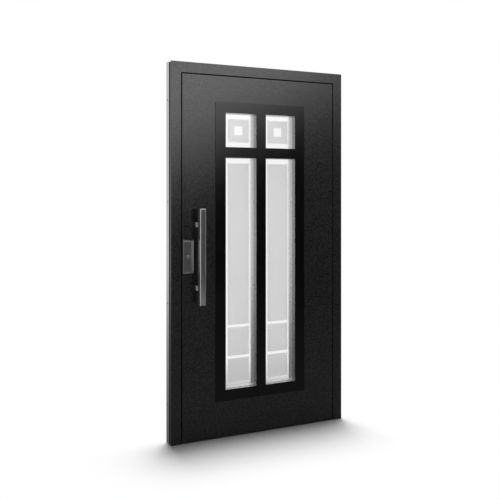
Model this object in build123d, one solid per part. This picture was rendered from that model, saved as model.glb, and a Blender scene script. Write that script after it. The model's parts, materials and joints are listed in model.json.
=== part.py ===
from build123d import *

import os

# Aluminium entrance door: a thermally broken frame and one leaf that swings inwards.
# Millimetres. X runs along the wall with the lock on the left (-X) and the hinges on the right (+X).
# Y runs through the wall from the outside (-Y) to the inside (+Y). Z is up.
# The origin is the middle of the threshold's underside, halfway through the frame's depth.

# Frame
FRAME_WIDTH = 1100.0
FRAME_HEIGHT = 2100.0
FRAME_FACE = 59.0  # width of the frame seen from outside
FRAME_INNER_FACE = 39.0  # width of the frame seen from inside
OUTER_SHELL_DEPTH = 13.0
THERMAL_BREAK_DEPTH = 20.0
INNER_SHELL_DEPTH = 42.0
BREAK_RECESS = 4.0  # how far the thermal break lies behind the shells' sides
THRESHOLD_HEIGHT = 4.0
SEAL_WIDTH = 12.0
SEAL_DEPTH = 6.0
SEAL_MARGIN = 3.0  # from the inner shell's side to the seal
ANCHOR_RADIUS = 5.25  # hole for a 10 mm frame anchor
ANCHOR_END = 210.0  # from either end of a jamb to its nearest anchor
ANCHOR_COUNT = 4

# Leaf
RUNNING_GAP = 6.2  # between the leaf's edges and the frame
FLOOR_GAP = 5.0  # between the leaf and the threshold
SEAL_GAP = 5.0  # between the leaf's flange and the seal
SHEET_THICKNESS = 3.0
STILE_WIDTH = 60.0  # on the leaf's outer face
TOP_RAIL_HEIGHT = 60.0
BOTTOM_RAIL_HEIGHT = 120.0

# Insert with four window openings
INSERT_THICKNESS = 3.0
INSERT_BASE = 206.0  # from the floor to the insert's lower edge
INSERT_HEADROOM = 144.8  # from the insert's upper edge to the leaf's top edge
INSERT_SIDE = 63.0
INSERT_TOP = 60.0
INSERT_BOTTOM = 62.0
MULLION_WIDTH = 61.0
CROSSBAR_HEIGHT = 60.5
WINDOW_WIDTH = 193.5
UPPER_WINDOW_HEIGHT = 193.0

# Double glazed units and the linings that hold them
GLASS_SETBACK = 33.5  # from the leaf's outer face to the glass
PANE_THICKNESS = 4.0
PANE_CAVITY = 16.0
GLASS_COVER = 12.0  # how far the glass reaches behind the edge of its opening
GLASS_EDGE_GAP = 2.0  # between the glass and the core around it
LINING_WALL = 3.0

# Pull bars and lock plates, the same outside and inside
HANDLE_HEIGHT = 1028.0  # from the floor to the middle of the bar, the plate and the lock
BAR_OFFSET = 92.0  # from the leaf's lock edge to the bar's centre line
BAR_WIDTH = 35.0
BAR_DEPTH = 35.0
BAR_LENGTH = 530.0
BAR_BEVEL = 4.0
POST_SIZE = 26.0
POST_LENGTH = 45.0
POST_SPACING = 350.0
PLATE_WIDTH = 59.0
PLATE_HEIGHT = 184.0
PLATE_THICKNESS = 10.0
PLATE_MARGIN = 3.7  # from the leaf's lock edge to the plate
PLATE_BEVEL_FACE = 7.0
PLATE_BEVEL_DEPTH = 2.0
CYLINDER_RADIUS = 8.75
CYLINDER_PROUD = 2.0
CYLINDER_CLEARANCE = 0.25
KEYWAY_WIDTH = 2.5
KEYWAY_HEIGHT = 9.0
KEYWAY_DEPTH = 8.0

# Lock faceplate in the leaf's edge and strike plate in the jamb
LOCK_PLATE_HEIGHT = 240.0
LOCK_PLATE_WIDTH = 20.0
LOCK_PLATE_THICKNESS = 3.0
BOLT_SLOT_WIDTH = 12.0
BOLT_SLOT_HEIGHT = 36.0
BOLT_SLOT_SPACING = 90.0
BOLT_SLOT_DEPTH = 15.0

# Hinges
HINGE_RADIUS = 9.0
HINGE_PIN_RADIUS = 5.0
HINGE_PIN_CLEARANCE = 0.3
HINGE_STANDOFF = 10.0  # from the inner faces to the hinge axis
HINGE_FLAP_WIDTH = 30.0
HINGE_FLAP_THICKNESS = 4.0
KNUCKLE_HEIGHT = 50.0
KNUCKLE_GAP = 0.5
PIN_REACH = 40.0  # how far the pin stands up into the leaf's knuckle
PIN_END_GAP = 1.0
HINGE_END = 220.0  # from the floor or the frame's top to the nearest hinge

# Faces of the frame and the leaf, worked out from the sizes above
LEFT = -FRAME_WIDTH / 2
RIGHT = FRAME_WIDTH / 2
FRAME_DEPTH = OUTER_SHELL_DEPTH + THERMAL_BREAK_DEPTH + INNER_SHELL_DEPTH
OUTSIDE = -FRAME_DEPTH / 2
INSIDE = FRAME_DEPTH / 2
BREAK_FRONT = OUTSIDE + OUTER_SHELL_DEPTH
BREAK_BACK = BREAK_FRONT + THERMAL_BREAK_DEPTH
FLANGE_FRONT = BREAK_BACK + SEAL_DEPTH + SEAL_GAP
FACE_INSET = FRAME_FACE + RUNNING_GAP  # from the frame's outside to the leaf's outer face
FLANGE_INSET = FRAME_INNER_FACE + RUNNING_GAP  # from the frame's outside to the leaf's flange
LEAF_LEFT = LEFT + FACE_INSET
LEAF_RIGHT = RIGHT - FACE_INSET
LEAF_TOP = FRAME_HEIGHT - FACE_INSET
LEAF_BOTTOM = THRESHOLD_HEIGHT + FLOOR_GAP
FLANGE_LEFT = LEFT + FLANGE_INSET
FLANGE_RIGHT = RIGHT - FLANGE_INSET
FLANGE_TOP = FRAME_HEIGHT - FLANGE_INSET
SHEET_BACK = OUTSIDE + SHEET_THICKNESS
SHEET_FRONT = INSIDE - SHEET_THICKNESS
STILE_LEFT = LEAF_LEFT + STILE_WIDTH
STILE_RIGHT = LEAF_RIGHT - STILE_WIDTH
RAIL_UNDERSIDE = LEAF_TOP - TOP_RAIL_HEIGHT
RAIL_UPPERSIDE = LEAF_BOTTOM + BOTTOM_RAIL_HEIGHT
INSERT_UPPER_EDGE = LEAF_TOP - INSERT_HEADROOM
UPPER_WINDOW_BASE = INSERT_UPPER_EDGE - INSERT_TOP - UPPER_WINDOW_HEIGHT
LOWER_WINDOW_BASE = INSERT_BASE + INSERT_BOTTOM
LOWER_WINDOW_HEIGHT = UPPER_WINDOW_BASE - CROSSBAR_HEIGHT - LOWER_WINDOW_BASE
GLASS_FRONT = OUTSIDE + GLASS_SETBACK
CAVITY_FRONT = GLASS_FRONT + PANE_THICKNESS
CAVITY_BACK = CAVITY_FRONT + PANE_CAVITY
GLASS_BACK = CAVITY_BACK + PANE_THICKNESS
BAR_X = LEAF_LEFT + BAR_OFFSET
PLATE_X = LEAF_LEFT + PLATE_MARGIN + PLATE_WIDTH / 2
HINGE_X = RIGHT - FRAME_INNER_FACE - RUNNING_GAP / 2
HINGE_Y = INSIDE + HINGE_STANDOFF
THROUGH = 2 * FRAME_DEPTH  # long enough to cut through the whole leaf


def block(x_range, y_range, z_range):
    """Box between the low and high values given for each axis."""
    ranges = (x_range, y_range, z_range)
    sizes = [high - low for low, high in ranges]
    centres = [(high + low) / 2 for low, high in ranges]
    return Pos(*centres) * Box(*sizes)


def around(middle, size):
    """Low and high values of a size centred on a place."""
    return (middle - size / 2, middle + size / 2)


def plate_from_outline(points, y_range):
    """Flat plate with an outline drawn in X and Z, running through a range of Y."""
    front, back = y_range
    outline = Polyline([(x, front, z) for x, z in points], close=True)
    return extrude(make_face(outline), amount=back - front, dir=(0, 1, 0))


def rod(x, y, z_range, radius):
    """Upright round bar."""
    bottom, top = z_range
    return Pos(x, y, (bottom + top) / 2) * Cylinder(radius, top - bottom)


def cross_rod(x, y_range, z, radius):
    """Round bar that runs through the wall."""
    front, back = y_range
    return Pos(x, (front + back) / 2, z) * Rot(90, 0, 0) * Cylinder(radius, back - front)


def mirror_inside(solid):
    """The same piece on the other side of the leaf."""
    return mirror(solid, about=Plane.XZ)


# Frame

def frame_outline(side, near, far):
    """Outline of one frame member between two insets from the frame's outside, mitred at the top."""
    low = LEFT + near
    high = LEFT + far
    if side == "head":
        points = [(low, FRAME_HEIGHT - near), (high, FRAME_HEIGHT - far)]
        return points + [(-x, z) for x, z in reversed(points)]
    points = [(low, 0), (high, 0), (high, FRAME_HEIGHT - far), (low, FRAME_HEIGHT - near)]
    if side == "right_jamb":
        return [(-x, z) for x, z in points]
    return points


def anchor_heights():
    """Heights of the frame anchors, evenly spaced up a jamb."""
    pitch = (FRAME_HEIGHT - 2 * ANCHOR_END) / (ANCHOR_COUNT - 1)
    return [ANCHOR_END + index * pitch for index in range(ANCHOR_COUNT)]


def frame_members():
    """The three layers of both jambs and the head, with anchor holes and the strike plate's seat."""
    layers = {
        "outer_shell": (0, FRAME_FACE, (OUTSIDE, BREAK_FRONT)),
        "thermal_break": (BREAK_RECESS, FRAME_FACE - BREAK_RECESS, (BREAK_FRONT, BREAK_BACK)),
        "inner_shell": (0, FRAME_INNER_FACE, (BREAK_BACK, INSIDE)),
    }
    members = {}
    for side in ("left_jamb", "right_jamb", "head"):
        for layer, (near, far, depth) in layers.items():
            members[f"{side}_{layer}"] = plate_from_outline(frame_outline(side, near, far), depth)
    anchor_y = (BREAK_BACK + INSIDE) / 2
    for side, edge in (("left_jamb", LEFT), ("right_jamb", RIGHT)):
        for height in anchor_heights():
            hole = Pos(edge, anchor_y, height) * Rot(0, 90, 0) * Cylinder(ANCHOR_RADIUS, 3 * FRAME_INNER_FACE)
            members[f"{side}_inner_shell"] -= hole
    members["left_jamb_inner_shell"] -= strike_seat()
    return members


def threshold():
    """Flat plate on the floor, notched around the jambs' outer parts."""
    outer = FRAME_WIDTH / 2 - FRAME_FACE
    inner = FRAME_WIDTH / 2 - FRAME_INNER_FACE
    front = block((-outer, outer), (OUTSIDE, BREAK_BACK), (0, THRESHOLD_HEIGHT))
    back = block((-inner, inner), (BREAK_BACK, INSIDE), (0, THRESHOLD_HEIGHT))
    return front + back


def frame_seal():
    """Rubber seal on the back of the thermal break, up both jambs and across the head."""
    near = FRAME_INNER_FACE + SEAL_MARGIN
    far = near + SEAL_WIDTH
    depth = (BREAK_BACK, BREAK_BACK + SEAL_DEPTH)
    outer = block((LEFT + near, RIGHT - near), depth, (THRESHOLD_HEIGHT, FRAME_HEIGHT - near))
    inner = block((LEFT + far, RIGHT - far), depth, (0, FRAME_HEIGHT - far))
    return outer - inner


# Lock faceplate and strike plate

LOCK_Y = (FLANGE_FRONT + SHEET_FRONT) / 2
STRIKE_FACE = LEFT + FRAME_INNER_FACE


def bolt_slots(x_range):
    """Two slots, one above the other, through the lock's faceplate or the strike plate."""
    slots = []
    for height in around(HANDLE_HEIGHT, BOLT_SLOT_SPACING):
        slots.append(block(x_range, around(LOCK_Y, BOLT_SLOT_WIDTH), around(height, BOLT_SLOT_HEIGHT)))
    return slots


def lock_strip(x_range):
    """Flat strip beside the lock, before its slots are cut."""
    return block(x_range, around(LOCK_Y, LOCK_PLATE_WIDTH), around(HANDLE_HEIGHT, LOCK_PLATE_HEIGHT))


def slotted_strip(x_range):
    """Flat strip with its two slots cut through it."""
    strip = lock_strip(x_range)
    for slot in bolt_slots(x_range):
        strip -= slot
    return strip


def strike_seat():
    """Pocket in the lock jamb: the strike plate's recess and the holes behind its slots."""
    seat = lock_strip((STRIKE_FACE - LOCK_PLATE_THICKNESS, STRIKE_FACE))
    for slot in bolt_slots((STRIKE_FACE - BOLT_SLOT_DEPTH, STRIKE_FACE)):
        seat += slot
    return seat


def strike_plate():
    """Strike plate, flush in the lock jamb."""
    return slotted_strip((STRIKE_FACE - LOCK_PLATE_THICKNESS, STRIKE_FACE))


def faceplate_seat():
    """Recess for the faceplate in the leaf's edge."""
    return lock_strip((FLANGE_LEFT, FLANGE_LEFT + LOCK_PLATE_THICKNESS))


def lock_faceplate():
    """Lock faceplate, flush in the leaf's edge, with slots for its latch and bolt."""
    return slotted_strip((FLANGE_LEFT, FLANGE_LEFT + LOCK_PLATE_THICKNESS))


# Leaf

def window_places():
    """Middle and size, in X and Z, of each window opening."""
    column = (MULLION_WIDTH + WINDOW_WIDTH) / 2
    rows = {
        "upper": (UPPER_WINDOW_BASE + UPPER_WINDOW_HEIGHT / 2, UPPER_WINDOW_HEIGHT),
        "lower": (LOWER_WINDOW_BASE + LOWER_WINDOW_HEIGHT / 2, LOWER_WINDOW_HEIGHT),
    }
    places = {}
    for row, (middle, height) in rows.items():
        for side, x in (("left", -column), ("right", column)):
            places[f"{row}_{side}"] = (x, middle, WINDOW_WIDTH, height)
    return places


def window_block(place, margin, y_range):
    """Block as large as a window opening plus a margin all round."""
    x, z, width, height = place
    return block(around(x, width + 2 * margin), y_range, around(z, height + 2 * margin))


def window_ring(place, inner_margin, outer_margin, y_range):
    """Rectangular ring around a window opening."""
    outer = window_block(place, outer_margin, y_range)
    return outer - window_block(place, inner_margin, y_range)


def with_windows_cut(solid, margin):
    """A sheet or plate with all four windows cut through it."""
    for place in window_places().values():
        solid -= window_block(place, margin, (-THROUGH, THROUGH))
    return solid


def with_lock_bored(solid):
    """Bore for the lock cylinder, which passes right through the leaf."""
    radius = CYLINDER_RADIUS + CYLINDER_CLEARANCE
    return solid - cross_rod(PLATE_X, (-THROUGH, THROUGH), HANDLE_HEIGHT, radius)


def face_sheets():
    outer = block((LEAF_LEFT, LEAF_RIGHT), (OUTSIDE, SHEET_BACK), (LEAF_BOTTOM, LEAF_TOP))
    inner = block((FLANGE_LEFT, FLANGE_RIGHT), (SHEET_FRONT, INSIDE), (LEAF_BOTTOM, FLANGE_TOP))
    sheets = {"outer_face_sheet": outer, "inner_face_sheet": inner}
    return {name: with_lock_bored(with_windows_cut(sheet, LINING_WALL)) for name, sheet in sheets.items()}


def leaf_profiles():
    """Stiles and rails around the leaf, stepped where the leaf's flange overlaps the frame."""
    outer_depth = (SHEET_BACK, FLANGE_FRONT)
    flange_depth = (FLANGE_FRONT, SHEET_FRONT)
    outer_height = (LEAF_BOTTOM, LEAF_TOP)
    flange_height = (LEAF_BOTTOM, FLANGE_TOP)
    lock_stile = block((LEAF_LEFT, STILE_LEFT), outer_depth, outer_height)
    lock_stile += block((FLANGE_LEFT, STILE_LEFT), flange_depth, flange_height)
    hinge_stile = block((STILE_RIGHT, LEAF_RIGHT), outer_depth, outer_height)
    hinge_stile += block((STILE_RIGHT, FLANGE_RIGHT), flange_depth, flange_height)
    between = (STILE_LEFT, STILE_RIGHT)
    top_rail = block(between, outer_depth, (RAIL_UNDERSIDE, LEAF_TOP))
    top_rail += block(between, flange_depth, (RAIL_UNDERSIDE, FLANGE_TOP))
    bottom_rail = block(between, (SHEET_BACK, SHEET_FRONT), (LEAF_BOTTOM, RAIL_UPPERSIDE))
    return {
        "lock_stile": with_lock_bored(lock_stile) - faceplate_seat(),
        "hinge_stile": hinge_stile,
        "top_rail": top_rail,
        "bottom_rail": bottom_rail,
    }


def insulating_core():
    """Foam between the stiles and rails, cut out for the linings and the glass."""
    core = block((STILE_LEFT, STILE_RIGHT), (SHEET_BACK, SHEET_FRONT), (RAIL_UPPERSIDE, RAIL_UNDERSIDE))
    core = with_windows_cut(core, LINING_WALL)
    for place in window_places().values():
        core -= window_block(place, GLASS_COVER + GLASS_EDGE_GAP, (GLASS_FRONT, GLASS_BACK))
    return core


def outer_insert():
    """Raised plate on the leaf's outer face that frames the four windows."""
    width = 2 * INSERT_SIDE + 2 * WINDOW_WIDTH + MULLION_WIDTH
    heights = (INSERT_BASE, INSERT_UPPER_EDGE)
    plate = block(around(0, width), (OUTSIDE - INSERT_THICKNESS, OUTSIDE), heights)
    return with_windows_cut(plate, 0)


def glazing():
    """Linings, panes and spacers of the four windows."""
    pieces = {"outer_window_linings": [], "inner_window_linings": [], "glazing_spacers": [], "inner_panes": []}
    for name, place in window_places().items():
        pieces[f"{name}_outer_pane"] = [window_block(place, GLASS_COVER, (GLASS_FRONT, CAVITY_FRONT))]
        pieces["inner_panes"].append(window_block(place, GLASS_COVER, (CAVITY_BACK, GLASS_BACK)))
        pieces["glazing_spacers"].append(window_ring(place, 0, GLASS_COVER, (CAVITY_FRONT, CAVITY_BACK)))
        pieces["outer_window_linings"].append(window_ring(place, 0, LINING_WALL, (OUTSIDE, GLASS_FRONT)))
        pieces["inner_window_linings"].append(window_ring(place, 0, LINING_WALL, (GLASS_BACK, INSIDE)))
    return pieces


# Pull bar, posts, lock plate and lock cylinder

def outside_bar():
    """Square pull bar with bevelled edges around its front."""
    front = OUTSIDE - POST_LENGTH - BAR_DEPTH
    bar = block(around(BAR_X, BAR_WIDTH), (front, front + BAR_DEPTH), around(HANDLE_HEIGHT, BAR_LENGTH))
    return chamfer(bar.faces().sort_by(Axis.Y)[0].edges(), BAR_BEVEL)


def outside_posts():
    """The two square posts that carry the pull bar."""
    depth = (OUTSIDE - POST_LENGTH, OUTSIDE)
    heights = around(HANDLE_HEIGHT, POST_SPACING)
    return [block(around(BAR_X, POST_SIZE), depth, around(height, POST_SIZE)) for height in heights]


def outside_plate():
    """Lock plate with bevelled edges, bored for the lock cylinder."""
    depth = (OUTSIDE - PLATE_THICKNESS, OUTSIDE)
    plate = block(around(PLATE_X, PLATE_WIDTH), depth, around(HANDLE_HEIGHT, PLATE_HEIGHT))
    front = plate.faces().sort_by(Axis.Y)[0]
    plate = chamfer(front.edges(), PLATE_BEVEL_FACE, PLATE_BEVEL_DEPTH, reference=front)
    return with_lock_bored(plate)


def lock_cylinder():
    """Round lock cylinder through the leaf, with a keyway at both ends."""
    reach = INSIDE + PLATE_THICKNESS + CYLINDER_PROUD
    cylinder = cross_rod(PLATE_X, (-reach, reach), HANDLE_HEIGHT, CYLINDER_RADIUS)
    keyway = block(
        around(PLATE_X, KEYWAY_WIDTH),
        (-reach, KEYWAY_DEPTH - reach),
        around(HANDLE_HEIGHT, KEYWAY_HEIGHT),
    )
    return cylinder - keyway - mirror_inside(keyway)


# Hinges

def hinge_heights():
    """Bottom of each hinge."""
    lowest = HINGE_END - KNUCKLE_HEIGHT
    highest = FRAME_HEIGHT - HINGE_END - KNUCKLE_HEIGHT
    return {"lower": lowest, "middle": (lowest + highest) / 2, "upper": highest}


def hinge_half(flap_x, neck_x, z_range):
    """Flap, neck and barrel of one half of a hinge."""
    flap = block(flap_x, (INSIDE, INSIDE + HINGE_FLAP_THICKNESS), z_range)
    neck = block(neck_x, (INSIDE, HINGE_Y), z_range)
    return flap + neck + rod(HINGE_X, HINGE_Y, z_range, HINGE_RADIUS)


def hinges():
    frame_edge = RIGHT - FRAME_INNER_FACE
    halves = {}
    for name, bottom in hinge_heights().items():
        middle = bottom + KNUCKLE_HEIGHT
        leaf_bottom = middle + KNUCKLE_GAP
        frame_half = hinge_half(
            (frame_edge, frame_edge + HINGE_FLAP_WIDTH),
            (frame_edge, HINGE_X + HINGE_RADIUS),
            (bottom, middle),
        )
        leaf_half = hinge_half(
            (FLANGE_RIGHT - HINGE_FLAP_WIDTH, FLANGE_RIGHT),
            (HINGE_X - HINGE_RADIUS, FLANGE_RIGHT),
            (leaf_bottom, leaf_bottom + KNUCKLE_HEIGHT),
        )
        pin_top = middle + PIN_REACH
        frame_half += rod(HINGE_X, HINGE_Y, (middle, pin_top), HINGE_PIN_RADIUS)
        bore_radius = HINGE_PIN_RADIUS + HINGE_PIN_CLEARANCE
        leaf_half -= rod(HINGE_X, HINGE_Y, (middle, pin_top + PIN_END_GAP), bore_radius)
        halves[f"{name}_hinge_frame_half"] = frame_half
        halves[f"{name}_hinge_leaf_half"] = leaf_half
    return halves


def all_nodes():
    """Every node of the door, each as a list of solids."""
    single = {
        **frame_members(),
        "threshold": threshold(),
        "frame_seal": frame_seal(),
        "strike_plate": strike_plate(),
        **face_sheets(),
        **leaf_profiles(),
        "insulating_core": insulating_core(),
        "outer_insert": outer_insert(),
        "inner_insert": mirror_inside(outer_insert()),
        "outside_pull_bar": outside_bar(),
        "inside_pull_bar": mirror_inside(outside_bar()),
        "outside_lock_plate": outside_plate(),
        "inside_lock_plate": mirror_inside(outside_plate()),
        "lock_cylinder": lock_cylinder(),
        "lock_faceplate": lock_faceplate(),
        **hinges(),
    }
    nodes = {name: [solid] for name, solid in single.items()}
    nodes.update(glazing())
    nodes["outside_bar_posts"] = outside_posts()
    nodes["inside_bar_posts"] = [mirror_inside(post) for post in outside_posts()]
    return nodes


os.makedirs("parts", exist_ok=True)
for name, pieces in all_nodes().items():
    solids = [solid for piece in pieces for solid in piece.solids()]
    shape = solids[0] if len(solids) == 1 else Compound(children=solids)
    export_step(shape, f"parts/{name}.step")
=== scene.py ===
import json
import math

import bmesh
import bpy
from mathutils import Euler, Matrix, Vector


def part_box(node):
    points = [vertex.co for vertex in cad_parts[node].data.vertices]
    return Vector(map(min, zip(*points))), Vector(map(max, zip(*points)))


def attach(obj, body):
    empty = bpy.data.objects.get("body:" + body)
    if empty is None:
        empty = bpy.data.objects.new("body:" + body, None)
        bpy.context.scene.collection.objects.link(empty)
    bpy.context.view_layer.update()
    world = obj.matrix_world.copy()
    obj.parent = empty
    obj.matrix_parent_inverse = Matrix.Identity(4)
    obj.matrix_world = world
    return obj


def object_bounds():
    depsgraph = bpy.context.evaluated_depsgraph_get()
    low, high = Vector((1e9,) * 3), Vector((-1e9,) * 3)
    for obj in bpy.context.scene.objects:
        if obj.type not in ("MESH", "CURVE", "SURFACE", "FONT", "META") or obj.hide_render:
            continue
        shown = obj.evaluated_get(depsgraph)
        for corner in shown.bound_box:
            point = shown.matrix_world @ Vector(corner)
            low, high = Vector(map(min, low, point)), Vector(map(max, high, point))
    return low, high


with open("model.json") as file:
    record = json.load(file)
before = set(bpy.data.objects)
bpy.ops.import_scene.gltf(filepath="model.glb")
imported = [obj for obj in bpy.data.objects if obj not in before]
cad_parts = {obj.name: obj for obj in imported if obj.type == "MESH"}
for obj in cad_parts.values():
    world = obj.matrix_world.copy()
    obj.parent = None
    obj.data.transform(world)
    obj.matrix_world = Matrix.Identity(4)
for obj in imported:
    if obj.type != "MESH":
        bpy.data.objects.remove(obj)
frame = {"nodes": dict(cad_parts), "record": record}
cad_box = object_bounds()

# Metres, as in the CAD model: X along the wall with the lock at -X, Y from outside to inside, Z up.

# Camera
CAMERA_PLACE = (-1.9149, -3.7932, 1.3927)
CAMERA_TURN = math.radians(26.15)
FOCAL_LENGTH = 52.56
SENSOR_WIDTH = 36.0
HORIZON_SHIFT = -0.1194

# Frosted pattern on the outer panes
GLASS_COVER = 0.012  # how far a pane reaches behind the edge of its opening
CLEAR_MARGIN = 0.0305  # clear glass around the frosted fields
FROSTING_THICKNESS = 0.0004
FROSTING_GAP = 0.0001  # between a pane's inner face and the frosting
CLEAR_SQUARE = 0.050
CLEAR_STRIPE = 0.016
LOWEST_FIELD = 0.1325  # heights of the two lower fields of a long pane
SECOND_FIELD = 0.161

# Screws
SCREW_SEGMENTS = 24
HINGE_SCREW_RADIUS = 0.0045
HINGE_SCREW_PITCH = 0.028
HINGE_SCREW_EDGE = 0.011  # from the flap's free edge to the screws
HINGE_FLAP_THICKNESS = 0.004
KNUCKLE_HEIGHT = 0.050
PLATE_SCREW_RADIUS = 0.004
PLATE_SCREW_END = 0.018  # from the end of the faceplate or strike plate to its screw

# Shares of a screw head's radius
SHANK_RADIUS = 0.8
SHANK_DEPTH = 0.2
CROWN_RADIUS = 0.86
CROWN_HEIGHT = 0.12
RIM_HEIGHT = 0.14
SOCKET_RADIUS = 0.42
SOCKET_DEPTH = 0.15
SOCKET_TAPER = 0.9

# Surfaces
NOISE_RANGE = (0.3, 0.7)  # part of a noise that a socket or a colour follows
WELD_DISTANCE = 0.00001
EDGE_SEGMENTS = 3
EDGE_ANGLE = math.radians(12.0)  # between two faces, from which their edge is rounded

# Light
AMBIENT = 0.07
KEY_PLACE = (1.4, 3.2, 15.0)  # high above and a little behind the door, so that its shadow falls in front
KEY_SIZE = (4.0, 6.4)
KEY_POWER = 2450.0
FILL_PLACE = (0.0, -6.0, 8.0)
FILL_SIZE = (3.0, 3.0)
FILL_POWER = 35.0
CARD_PLACE = (1.87, -7.0, 0.86)
CARD_SIZE = (8.5, 16.0)
CARD_ROLL = math.radians(24.7)  # in the card's own plane
CARD_DIM = 0.04
CARD_BRIGHT = 5.9
CARD_RISE = (0.03, 2.1)  # along the card's own height, from dim to bright
CARD_TOP = (3.0, 2.3)  # further up, from dim at the top down to bright
CARD_SIDE = (-2.65, -0.05)  # along the card's own width, from dim to bright
FLOOR_SIZE = 60.0
FLOOR_WHITE = 0.97
FLOOR_FADE = (0.0, 0.7)  # distance from the door over which the lit floor turns plain white
FLAG_HEIGHT = 0.002  # of the dark flags over the floor
FRONT_FLAG_SPAN = (-4.0, 6.0)  # along X
REAR_SHADE_SPAN = (-30.0, 30.0)
FLAG_LENGTH = 30.0  # along Y, from the door's middle
LIGHT_SPOT_PLACE = (1.05, -5.2)  # painted pool of light on the floor, lying over the front flag
LIGHT_SPOT_SIZE = 2.4
# Glow at the door or in the spot's middle, glow further out, and the distance from which it is even
FRONT_FLAG = (0.25, 0.03, 6.0)
# Rear sheet's glow, dim near the door: painted shade of the floor around the door, as the door reflects it
REFLECTED_REAR_SHADE = (0.11, 1.0, 8.5)
REAR_SHADE = (0.0, 1.0, 1.7)  # where the rear sheet shows through glass: painted shadow of the door on the floor behind it
LIGHT_SPOT = (0.74, 0.06, 1.2)


# Materials

class Finish:
    """A material with one shader, and ways to vary its sockets over the surface."""

    def __init__(self, name, color, roughness, metallic=0.0):
        self.material = bpy.data.materials.new(name)
        self.material.use_nodes = True
        self.nodes = self.material.node_tree.nodes
        self.links = self.material.node_tree.links
        self.shader = self.nodes["Principled BSDF"]
        self.place = self.nodes.new("ShaderNodeTexCoord").outputs["Object"]
        self.set("Base Color", (*color, 1.0))
        self.set("Roughness", roughness)
        self.set("Metallic", metallic)

    def set(self, socket, value):
        self.shader.inputs[socket].default_value = value

    def noise(self, size, detail=2.0, stretch=(1.0, 1.0, 1.0)):
        """Noise with grains about size metres across, drawn out along each axis by stretch."""
        mapping = self.nodes.new("ShaderNodeMapping")
        mapping.inputs["Scale"].default_value = [1.0 / (size * factor) for factor in stretch]
        texture = self.nodes.new("ShaderNodeTexNoise")
        texture.inputs["Scale"].default_value = 1.0
        texture.inputs["Detail"].default_value = detail
        self.links.new(self.place, mapping.inputs["Vector"])
        self.links.new(mapping.outputs["Vector"], texture.inputs["Vector"])
        return texture.outputs["Fac"]

    def cells(self, size):
        """Distance to the nearest of a scatter of points, for foam and speckle."""
        texture = self.nodes.new("ShaderNodeTexVoronoi")
        texture.inputs["Scale"].default_value = 1.0 / size
        self.links.new(self.place, texture.inputs["Vector"])
        return texture.outputs["Distance"]

    def vary(self, socket, source, low, high):
        """A socket that goes from low to high with a noise."""
        span = self.nodes.new("ShaderNodeMapRange")
        span.inputs["From Min"].default_value = NOISE_RANGE[0]
        span.inputs["From Max"].default_value = NOISE_RANGE[1]
        span.inputs["To Min"].default_value = low
        span.inputs["To Max"].default_value = high
        self.links.new(source, span.inputs["Value"])
        self.links.new(span.outputs["Result"], self.shader.inputs[socket])

    def tint(self, source, dark, light):
        """A base colour that goes from dark to light with a noise."""
        ramp = self.nodes.new("ShaderNodeValToRGB")
        for stop, position, color in zip(ramp.color_ramp.elements, NOISE_RANGE, (dark, light)):
            stop.position = position
            stop.color = (*color, 1.0)
        self.links.new(source, ramp.inputs["Fac"])
        self.links.new(ramp.outputs["Color"], self.shader.inputs["Base Color"])

    def relief(self, source, height, strength):
        """Bump of a height in metres, on top of any that the shader has already."""
        bump = self.nodes.new("ShaderNodeBump")
        bump.inputs["Distance"].default_value = height
        bump.inputs["Strength"].default_value = strength
        self.links.new(source, bump.inputs["Height"])
        normal = self.shader.inputs["Normal"]
        if normal.is_linked:
            self.links.new(normal.links[0].from_socket, bump.inputs["Normal"])
        self.links.new(bump.outputs["Normal"], normal)


def grey(value):
    """Neutral colour."""
    return (value, value, value)


def textured_black():
    finish = Finish("textured_black", grey(0.015), 0.18)
    finish.set("Specular IOR Level", 0.33)
    grain = finish.noise(0.006, detail=2.0)
    finish.tint(grain, grey(0.004), grey(0.029))
    finish.vary("Roughness", finish.noise(0.006, detail=1.0), 0.11, 0.25)
    finish.relief(grain, 0.0012, 0.20)
    finish.relief(finish.noise(0.0015, detail=1.0), 0.0002, 0.35)
    return finish


def smooth_black():
    finish = Finish("smooth_black", grey(0.003), 0.14)
    finish.set("Specular IOR Level", 0.25)
    finish.tint(finish.noise(0.09), grey(0.0025), grey(0.0035))
    finish.vary("Roughness", finish.noise(0.05, detail=4.0), 0.12, 0.16)
    finish.relief(finish.noise(0.018, detail=1.0), 0.0001, 0.15)
    return finish


def silver_aluminium():
    finish = Finish("silver_aluminium", grey(0.47), 0.32, metallic=1.0)
    streaks = finish.noise(0.0025, stretch=(1.0, 1.0, 60.0))
    finish.tint(streaks, grey(0.45), grey(0.49))
    finish.vary("Roughness", finish.noise(0.02, detail=3.0), 0.28, 0.36)
    finish.relief(streaks, 0.0001, 0.10)
    return finish


# Darker copy of the lining silver, for the outer window linings: painted shade on the front part of each
# reveal
def shaded_lining_silver():
    finish = Finish("shaded_lining_silver", grey(0.28), 0.28, metallic=1.0)
    finish.tint(finish.noise(0.004, detail=3.0), grey(0.27), grey(0.29))
    finish.vary("Roughness", finish.noise(0.02, detail=3.0), 0.27, 0.29)
    finish.relief(finish.noise(0.003), 0.00005, 0.05)
    return finish


# Lighter copy of the lining silver, for the inner window linings and glazing spacers: painted light on the
# rear part of each reveal, lit from behind through the glass
def lit_lining_silver():
    finish = Finish("lit_lining_silver", grey(0.64), 0.28, metallic=1.0)
    finish.tint(finish.noise(0.004, detail=3.0), grey(0.63), grey(0.65))
    finish.vary("Roughness", finish.noise(0.02, detail=3.0), 0.27, 0.29)
    finish.relief(finish.noise(0.003), 0.00005, 0.05)
    return finish


def leaf_profile():
    finish = Finish("leaf_profile", grey(0.018), 0.4)
    finish.tint(finish.noise(0.004, detail=3.0), grey(0.014), grey(0.022))
    finish.vary("Roughness", finish.noise(0.02), 0.36, 0.44)
    finish.relief(finish.noise(0.003), 0.0003, 0.25)
    return finish


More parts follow.
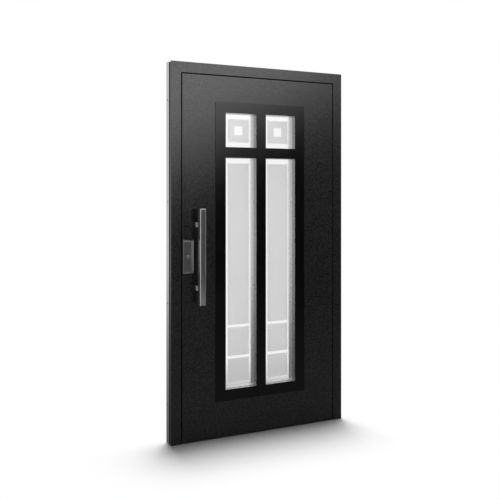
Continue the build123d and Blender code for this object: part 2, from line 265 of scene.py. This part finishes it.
def threshold_anodised():
    finish = Finish("threshold_anodised", grey(0.05), 0.35, metallic=1.0)
    streaks = finish.noise(0.003, stretch=(80.0, 1.0, 1.0))
    finish.tint(streaks, grey(0.040), grey(0.062))
    finish.vary("Roughness", streaks, 0.30, 0.42)
    finish.relief(streaks, 0.0002, 0.25)
    return finish


def thermal_break():
    finish = Finish("thermal_break", grey(0.012), 0.6)
    finish.set("Specular IOR Level", 0.04)
    finish.tint(finish.cells(0.002), grey(0.004), grey(0.008))
    finish.vary("Roughness", finish.noise(0.01), 0.55, 0.68)
    finish.relief(finish.noise(0.002, stretch=(1.0, 1.0, 30.0)), 0.0002, 0.3)
    return finish


def core_foam():
    finish = Finish("core_foam", (0.75, 0.68, 0.45), 0.85)
    cells = finish.cells(0.0012)
    finish.tint(cells, (0.62, 0.54, 0.33), (0.80, 0.73, 0.50))
    finish.vary("Roughness", cells, 0.8, 0.95)
    finish.relief(cells, 0.0005, 0.6)
    return finish


def seal_rubber():
    finish = Finish("seal_rubber", grey(0.014), 0.7)
    finish.tint(finish.noise(0.01, detail=3.0), grey(0.011), grey(0.018))
    finish.vary("Roughness", finish.noise(0.004), 0.62, 0.78)
    finish.relief(finish.noise(0.001), 0.0002, 0.3)
    return finish


def satin_steel():
    finish = Finish("satin_steel", grey(0.36), 0.1, metallic=0.8)
    streaks = finish.noise(0.0012, detail=3.0, stretch=(1.0, 1.0, 90.0))
    finish.tint(streaks, grey(0.34), grey(0.38))
    finish.vary("Roughness", streaks, 0.08, 0.13)
    finish.relief(streaks, 0.00004, 0.1)
    return finish


def matt_steel():
    finish = Finish("matt_steel", grey(0.8), 0.35, metallic=0.3)
    finish.tint(finish.noise(0.004, detail=3.0), grey(0.76), grey(0.84))
    finish.vary("Roughness", finish.noise(0.003), 0.30, 0.40)
    finish.relief(finish.noise(0.001), 0.00005, 0.2)
    return finish


def nickel():
    finish = Finish("nickel", grey(0.58), 0.2, metallic=1.0)
    finish.tint(finish.noise(0.003, detail=3.0), grey(0.55), grey(0.61))
    finish.vary("Roughness", finish.noise(0.002), 0.16, 0.24)
    finish.relief(finish.noise(0.001), 0.00005, 0.1)
    return finish


def clear_glass():
    finish = Finish("clear_glass", grey(0.965), 0.0)
    finish.set("Transmission Weight", 1.0)
    finish.set("IOR", 1.45)
    finish.vary("Roughness", finish.noise(0.08, detail=4.0), 0.0, 0.02)
    return finish


def frosted_glass():
    finish = Finish("frosted_glass", grey(0.98), 0.67)
    finish.set("Transmission Weight", 0.90)
    finish.set("IOR", 1.45)
    grain = finish.noise(0.0015, detail=3.0)
    finish.tint(grain, grey(0.97), grey(0.99))
    finish.vary("Roughness", grain, 0.62, 0.72)
    finish.relief(grain, 0.0001, 0.2)
    return finish


def screw_steel():
    finish = Finish("screw_steel", grey(0.5), 0.3, metallic=1.0)
    finish.tint(finish.noise(0.002, detail=3.0), grey(0.42), grey(0.56))
    finish.vary("Roughness", finish.noise(0.001), 0.24, 0.36)
    finish.relief(finish.noise(0.0008), 0.00005, 0.2)
    return finish


# Finishes have the names of the record's material slots, and the last four are for single nodes
FINISHES = (
    textured_black,
    smooth_black,
    silver_aluminium,
    leaf_profile,
    threshold_anodised,
    thermal_break,
    core_foam,
    seal_rubber,
    satin_steel,
    clear_glass,
    shaded_lining_silver,
    lit_lining_silver,
    matt_steel,
    nickel,
)
NODE_FINISHES = {
    # The outer linings take a darker copy of the lining silver (painted shade), the inner linings and
    # spacers a lighter one (painted light)
    "outer_window_linings": "shaded_lining_silver",
    "inner_window_linings": "lit_lining_silver",
    "glazing_spacers": "lit_lining_silver",
    "outside_bar_posts": "matt_steel",
    "inside_bar_posts": "matt_steel",
    "lock_cylinder": "nickel",
}
EDGE_ROUNDING = {
    "textured_black": 0.0007,
    "smooth_black": 0.0005,
    "silver_aluminium": 0.0004,
    "leaf_profile": 0.0006,
    "threshold_anodised": 0.0006,
    "thermal_break": 0.0003,
    "seal_rubber": 0.0010,
    "satin_steel": 0.0008,
}


def round_edges(piece, width):
    """Small rounded edges that catch the light, without touching the mesh itself."""
    weld = piece.modifiers.new("joined_faces", "WELD")
    weld.merge_threshold = WELD_DISTANCE
    bevel = piece.modifiers.new("rounded_edges", "BEVEL")
    bevel.width = width
    bevel.segments = EDGE_SEGMENTS
    bevel.limit_method = "ANGLE"
    bevel.angle_limit = EDGE_ANGLE
    normals = piece.modifiers.new("even_normals", "WEIGHTED_NORMAL")
    normals.keep_sharp = False


def dress_nodes():
    """Every CAD node gets its own finish or that of its slot, and most get rounded edges."""
    finishes = {make.__name__: make().material for make in FINISHES}
    for part in frame["record"]["subparts"]:
        name = part["node"]
        slot = part["material_slot"]
        node = frame["nodes"][name]
        node.data.materials.clear()
        node.data.materials.append(finishes[NODE_FINISHES.get(name, slot)])
        if slot in EDGE_ROUNDING:
            round_edges(node, EDGE_ROUNDING[slot])


# Pieces added to the CAD model

def add_piece(name, mesh_data, material, body):
    """A new piece that moves with a body, with the given material."""
    mesh = bpy.data.meshes.new(name)
    mesh_data.to_mesh(mesh)
    mesh_data.free()
    mesh.materials.append(material)
    piece = bpy.data.objects.new(name, mesh)
    bpy.context.scene.collection.objects.link(piece)
    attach(piece, body)


def rectangle(x_range, z_range):
    """Corners of an upright rectangle, in X and Z."""
    left, right = x_range
    bottom, top = z_range
    return [(left, bottom), (right, bottom), (right, top), (left, top)]


def add_slab(mesh_data, y_range, outline, hole=None):
    """Closed flat slab with an outline of four corners and, if given, a hole of four corners."""
    def corners(points):
        return [[mesh_data.verts.new((x, y, z)) for x, z in points] for y in y_range]

    def walls(front, back):
        for index in range(len(front)):
            following = (index + 1) % len(front)
            mesh_data.faces.new((front[index], front[following], back[following], back[index]))

    front, back = corners(outline)
    walls(front, back)
    if hole is None:
        mesh_data.faces.new(front)
        mesh_data.faces.new(back)
        return
    hole_front, hole_back = corners(hole)
    walls(hole_front, hole_back)
    walls(front, hole_front)
    walls(back, hole_back)


def frosted_fields(x_range, z_range, has_clear_square):
    """Outline and hole of each frosted field: one with a clear square, or three with stripes between."""
    if has_clear_square:
        middle_x = sum(x_range) / 2
        middle_z = sum(z_range) / 2
        half = CLEAR_SQUARE / 2
        hole = rectangle((middle_x - half, middle_x + half), (middle_z - half, middle_z + half))
        return [(rectangle(x_range, z_range), hole)]
    bottom, top = z_range
    second = bottom + LOWEST_FIELD + CLEAR_STRIPE
    third = second + SECOND_FIELD + CLEAR_STRIPE
    spans = [(bottom, bottom + LOWEST_FIELD), (second, second + SECOND_FIELD), (third, top)]
    return [(rectangle(x_range, span), None) for span in spans]


def add_frosting(pane, material):
    """The frosted fields on the inner face of one outer pane."""
    low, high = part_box(f"{pane}_outer_pane")
    inset = GLASS_COVER + CLEAR_MARGIN
    x_range = (low.x + inset, high.x - inset)
    z_range = (low.z + inset, high.z - inset)
    front = high.y + FROSTING_GAP
    mesh_data = bmesh.new()
    for outline, hole in frosted_fields(x_range, z_range, pane.startswith("upper")):
        add_slab(mesh_data, (front, front + FROSTING_THICKNESS), outline, hole)
    bmesh.ops.recalc_face_normals(mesh_data, faces=mesh_data.faces)
    add_piece(f"{pane}_frosting", mesh_data, material, "leaf")


def hexagon(angle, radius):
    """Distance from the middle of a hexagon to its edge, at an angle."""
    sixth = math.radians(60.0)
    return radius * math.cos(sixth / 2) / math.cos(angle % sixth - sixth / 2)


def add_screw(mesh_data, place, normal, radius):
    """Countersunk screw head with a hexagon socket, standing a little proud of a surface."""
    normal = Vector(normal)
    across = normal.orthogonal().normalized()
    along = normal.cross(across)
    socket = radius * SOCKET_RADIUS
    levels = [
        (lambda angle: radius * SHANK_RADIUS, -radius * SHANK_DEPTH),
        (lambda angle: radius, 0.0),
        (lambda angle: radius * CROWN_RADIUS, radius * CROWN_HEIGHT),
        (lambda angle: hexagon(angle, socket), radius * RIM_HEIGHT),
        (lambda angle: hexagon(angle, socket * SOCKET_TAPER), -radius * SOCKET_DEPTH),
    ]
    rings = []
    for reach, height in levels:
        ring = []
        for index in range(SCREW_SEGMENTS):
            angle = 2 * math.pi * index / SCREW_SEGMENTS
            spread = across * math.cos(angle) + along * math.sin(angle)
            ring.append(mesh_data.verts.new(Vector(place) + normal * height + spread * reach(angle)))
        rings.append(ring)
    for lower, upper in zip(rings, rings[1:]):
        for index in range(SCREW_SEGMENTS):
            following = (index + 1) % SCREW_SEGMENTS
            mesh_data.faces.new((lower[index], lower[following], upper[following], upper[index]))
    mesh_data.faces.new(rings[0])
    mesh_data.faces.new(rings[-1])


def add_screws(name, body, places, normal, radius, material):
    """A set of like screws on one fitting."""
    mesh_data = bmesh.new()
    for place in places:
        add_screw(mesh_data, place, normal, radius)
    bmesh.ops.recalc_face_normals(mesh_data, faces=mesh_data.faces)
    add_piece(name, mesh_data, material, body)


def add_hinge_screws(material):
    """Two screws in the flap of each half of each hinge."""
    for level in ("lower", "middle", "upper"):
        for body in ("frame", "leaf"):
            low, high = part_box(f"{level}_hinge_{body}_half")
            x = high.x - HINGE_SCREW_EDGE if body == "frame" else low.x + HINGE_SCREW_EDGE
            y = low.y + HINGE_FLAP_THICKNESS
            middle = low.z + KNUCKLE_HEIGHT / 2
            heights = (middle - HINGE_SCREW_PITCH / 2, middle + HINGE_SCREW_PITCH / 2)
            places = [(x, y, z) for z in heights]
            add_screws(f"{level}_hinge_{body}_screws", body, places, (0, 1, 0), HINGE_SCREW_RADIUS, material)


def add_lock_screws(material):
    """A screw near each end of the lock's faceplate and of the strike plate."""
    for node, body, side in (("lock_faceplate", "leaf", -1), ("strike_plate", "frame", 1)):
        low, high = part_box(node)
        x = low.x if side < 0 else high.x
        y = (low.y + high.y) / 2
        places = [(x, y, z) for z in (low.z + PLATE_SCREW_END, high.z - PLATE_SCREW_END)]
        add_screws(f"{node}_screws", body, places, (side, 0, 0), PLATE_SCREW_RADIUS, material)


# Stage, light and camera

def add_plane(name, size, material):
    """Flat stage piece that isn't part of the door."""
    width, length = size
    mesh = bpy.data.meshes.new(name)
    half_x = width / 2
    half_y = length / 2
    corners = [(-half_x, -half_y, 0), (half_x, -half_y, 0), (half_x, half_y, 0), (-half_x, half_y, 0)]
    mesh.from_pydata(corners, [], [(0, 1, 2, 3)])
    mesh.materials.append(material)
    plane = bpy.data.objects.new(name, mesh)
    bpy.context.scene.collection.objects.link(plane)
    return plane


def ramp_node(nodes, span):
    """Smooth step from 0 to 1 over a span of its input."""
    ramp = nodes.new("ShaderNodeMapRange")
    ramp.interpolation_type = "SMOOTHSTEP"
    ramp.inputs["From Min"].default_value = span[0]
    ramp.inputs["From Max"].default_value = span[1]
    return ramp


def stage_material(name):
    """Empty material for a stage piece, with its nodes, its links and the object's own coordinates."""
    material = bpy.data.materials.new(name)
    material.use_nodes = True
    nodes = material.node_tree.nodes
    nodes.clear()
    place = nodes.new("ShaderNodeTexCoord").outputs["Object"]
    return material, nodes, material.node_tree.links, place


def show(nodes, links, surface):
    """A shader as the surface of a material."""
    output = nodes.new("ShaderNodeOutputMaterial")
    links.new(surface, output.inputs["Surface"])


def floor_material():
    """White floor that takes the door's shadow and turns into the white background further out."""
    material, nodes, links, place = stage_material("floor_white")
    half_width = (cad_box[1] - cad_box[0]).x / 2
    beside = place
    for operation, operand in (("ABSOLUTE", 0.0), ("SUBTRACT", half_width), ("MAXIMUM", 0.0)):
        step = nodes.new("ShaderNodeVectorMath")
        step.operation = operation
        step.inputs[1].default_value = (operand, 0.0, 0.0)
        links.new(beside, step.inputs[0])
        beside = step.outputs["Vector"]
    distance = nodes.new("ShaderNodeVectorMath")
    distance.operation = "LENGTH"
    fade = ramp_node(nodes, FLOOR_FADE)
    lit = nodes.new("ShaderNodeBsdfDiffuse")
    lit.inputs["Color"].default_value = (*grey(FLOOR_WHITE), 1.0)
    plain = nodes.new("ShaderNodeEmission")
    mix = nodes.new("ShaderNodeMixShader")
    links.new(beside, distance.inputs[0])
    links.new(distance.outputs["Value"], fade.inputs["Value"])
    links.new(fade.outputs["Result"], mix.inputs["Fac"])
    links.new(lit.outputs["BSDF"], mix.inputs[1])
    links.new(plain.outputs["Emission"], mix.inputs[2])
    show(nodes, links, mix.outputs["Shader"])
    return material


def card_material():
    """Reflector card with a bright band on its right and soft edges, dim elsewhere."""
    material, nodes, links, place = stage_material("card_glow")
    split = nodes.new("ShaderNodeSeparateXYZ")
    share = None
    for axis, span in (("Y", CARD_RISE), ("Y", CARD_TOP), ("X", CARD_SIDE)):
        ramp = ramp_node(nodes, span)
        links.new(split.outputs[axis], ramp.inputs["Value"])
        if share is None:
            share = ramp.outputs["Result"]
            continue
        both = nodes.new("ShaderNodeMath")
        both.operation = "MULTIPLY"
        links.new(share, both.inputs[0])
        links.new(ramp.outputs["Result"], both.inputs[1])
        share = both.outputs["Value"]
    level = nodes.new("ShaderNodeMapRange")
    level.inputs["To Min"].default_value = CARD_DIM
    level.inputs["To Max"].default_value = CARD_BRIGHT
    glow = nodes.new("ShaderNodeEmission")
    links.new(place, split.inputs["Vector"])
    links.new(share, level.inputs["Value"])
    links.new(level.outputs["Result"], glow.inputs["Strength"])
    show(nodes, links, glow.outputs["Emission"])
    return material


def flag_material(name, middle, reflected, seen_through):
    """Glow that changes with distance from a point, with levels for reflections and for what glass shows; on
    the rear sheet the dim glow near the door is painted shade, on the light spot the glow is a painted pool
    of light.
    """
    material, nodes, links, place = stage_material(name)
    material.cycles.emission_sampling = "NONE"
    distance = nodes.new("ShaderNodeVectorMath")
    distance.operation = "DISTANCE"
    distance.inputs[1].default_value = middle
    links.new(place, distance.inputs[0])
    path = nodes.new("ShaderNodeLightPath")
    choice = nodes.new("ShaderNodeMapRange")
    links.new(path.outputs["Glossy Depth"], choice.inputs["Value"])
    for levels, socket in ((seen_through, "To Min"), (reflected, "To Max")):
        near, far, reach = levels
        level = nodes.new("ShaderNodeMapRange")
        level.inputs["From Max"].default_value = reach
        level.inputs["To Min"].default_value = near
        level.inputs["To Max"].default_value = far
        links.new(distance.outputs["Value"], level.inputs["Value"])
        links.new(level.outputs["Result"], choice.inputs[socket])
    glow = nodes.new("ShaderNodeEmission")
    links.new(choice.outputs["Result"], glow.inputs["Strength"])
    show(nodes, links, glow.outputs["Emission"])
    return material


def add_screen(name, size, material, place, through_glass, turn=(0.0, 0.0, 0.0)):
    """Stage piece that shows only in reflections and, if asked for, through glass."""
    plane = add_plane(name, size, material)
    plane.location = place
    plane.rotation_euler = turn
    plane.visible_camera = False
    plane.visible_diffuse = False
    plane.visible_shadow = False
    plane.visible_transmission = through_glass


def add_stage():
    """The floor, and the card, flags and light spot that the door reflects; the rear sheet is painted shade
    of the floor around the door, and the light spot a painted pool of light on the floor.
    """
    add_plane("floor", (FLOOR_SIZE, FLOOR_SIZE), floor_material())
    upright = Euler((math.radians(90.0), 0.0, 0.0))
    upright.rotate_axis("Z", CARD_ROLL)
    add_screen("reflector_card", CARD_SIZE, card_material(), CARD_PLACE, False, upright)
    flags = (
        ("front_flag", -1, FRONT_FLAG_SPAN, FRONT_FLAG, FRONT_FLAG, False),
        # Rear sheet: painted shade of the floor around the door, in reflections and through glass
        ("rear_shade_sheet", 1, REAR_SHADE_SPAN, REFLECTED_REAR_SHADE, REAR_SHADE, True),
    )
    for name, side, span, reflected, seen_through, through_glass in flags:
        size = (span[1] - span[0], FLAG_LENGTH)
        place = Vector((sum(span) / 2, side * FLAG_LENGTH / 2, FLAG_HEIGHT))
        glow = flag_material(f"{name}_glow", -place, reflected, seen_through)
        add_screen(name, size, glow, place, through_glass)
    # Painted pool of light on the floor, seen only in reflections
    spot_glow = flag_material("light_spot_glow", Vector(), LIGHT_SPOT, LIGHT_SPOT)
    spot_place = (*LIGHT_SPOT_PLACE, 2 * FLAG_HEIGHT)
    add_screen("light_spot", (LIGHT_SPOT_SIZE, LIGHT_SPOT_SIZE), spot_glow, spot_place, False)


def add_lamp(name, place, target, size, power):
    """Soft rectangular lamp aimed at a point."""
    lamp = bpy.data.lights.new(name, "AREA")
    lamp.shape = "RECTANGLE"
    lamp.size, lamp.size_y = size
    lamp.energy = power
    holder = bpy.data.objects.new(name, lamp)
    bpy.context.scene.collection.objects.link(holder)
    holder.location = place
    aim = Vector(target) - Vector(place)
    holder.rotation_euler = aim.to_track_quat("-Z", "Y").to_euler()
    holder.visible_camera = False
    holder.visible_glossy = False


def add_world():
    """White background for the camera, reflections and glass, and dimmer all-round light on surfaces."""
    world = bpy.data.worlds.new("studio")
    world.use_nodes = True
    bpy.context.scene.world = world
    nodes = world.node_tree.nodes
    links = world.node_tree.links
    background = nodes["Background"]
    path = nodes.new("ShaderNodeLightPath")
    total = path.outputs["Is Camera Ray"]
    for ray in ("Is Glossy Ray", "Is Transmission Ray"):
        either = nodes.new("ShaderNodeMath")
        either.operation = "MAXIMUM"
        links.new(total, either.inputs[0])
        links.new(path.outputs[ray], either.inputs[1])
        total = either.outputs["Value"]
    strength = nodes.new("ShaderNodeMapRange")
    strength.inputs["To Min"].default_value = AMBIENT
    strength.inputs["To Max"].default_value = 1.0
    links.new(total, strength.inputs["Value"])
    links.new(strength.outputs["Result"], background.inputs["Strength"])
    background.inputs["Color"].default_value = (1.0, 1.0, 1.0, 1.0)


def add_camera():
    """The photo's viewpoint, level and with the picture shifted down."""
    camera = bpy.data.cameras.new("camera")
    camera.lens = FOCAL_LENGTH
    camera.sensor_width = SENSOR_WIDTH
    camera.shift_y = HORIZON_SHIFT
    holder = bpy.data.objects.new("camera", camera)
    bpy.context.scene.collection.objects.link(holder)
    holder.location = CAMERA_PLACE
    holder.rotation_euler = (math.radians(90.0), 0.0, -CAMERA_TURN)
    bpy.context.scene.camera = holder


dress_nodes()
frosting = frosted_glass().material
for pane in ("upper_left", "upper_right", "lower_left", "lower_right"):
    add_frosting(pane, frosting)
screws = screw_steel().material
add_hinge_screws(screws)
add_lock_screws(screws)
add_stage()
add_lamp("key_lamp", KEY_PLACE, (KEY_PLACE[0], KEY_PLACE[1], 0.0), KEY_SIZE, KEY_POWER)
add_lamp("fill_lamp", FILL_PLACE, (0.0, 0.0, 0.0), FILL_SIZE, FILL_POWER)
add_world()
add_camera()
bpy.context.scene.view_settings.view_transform = "Standard"
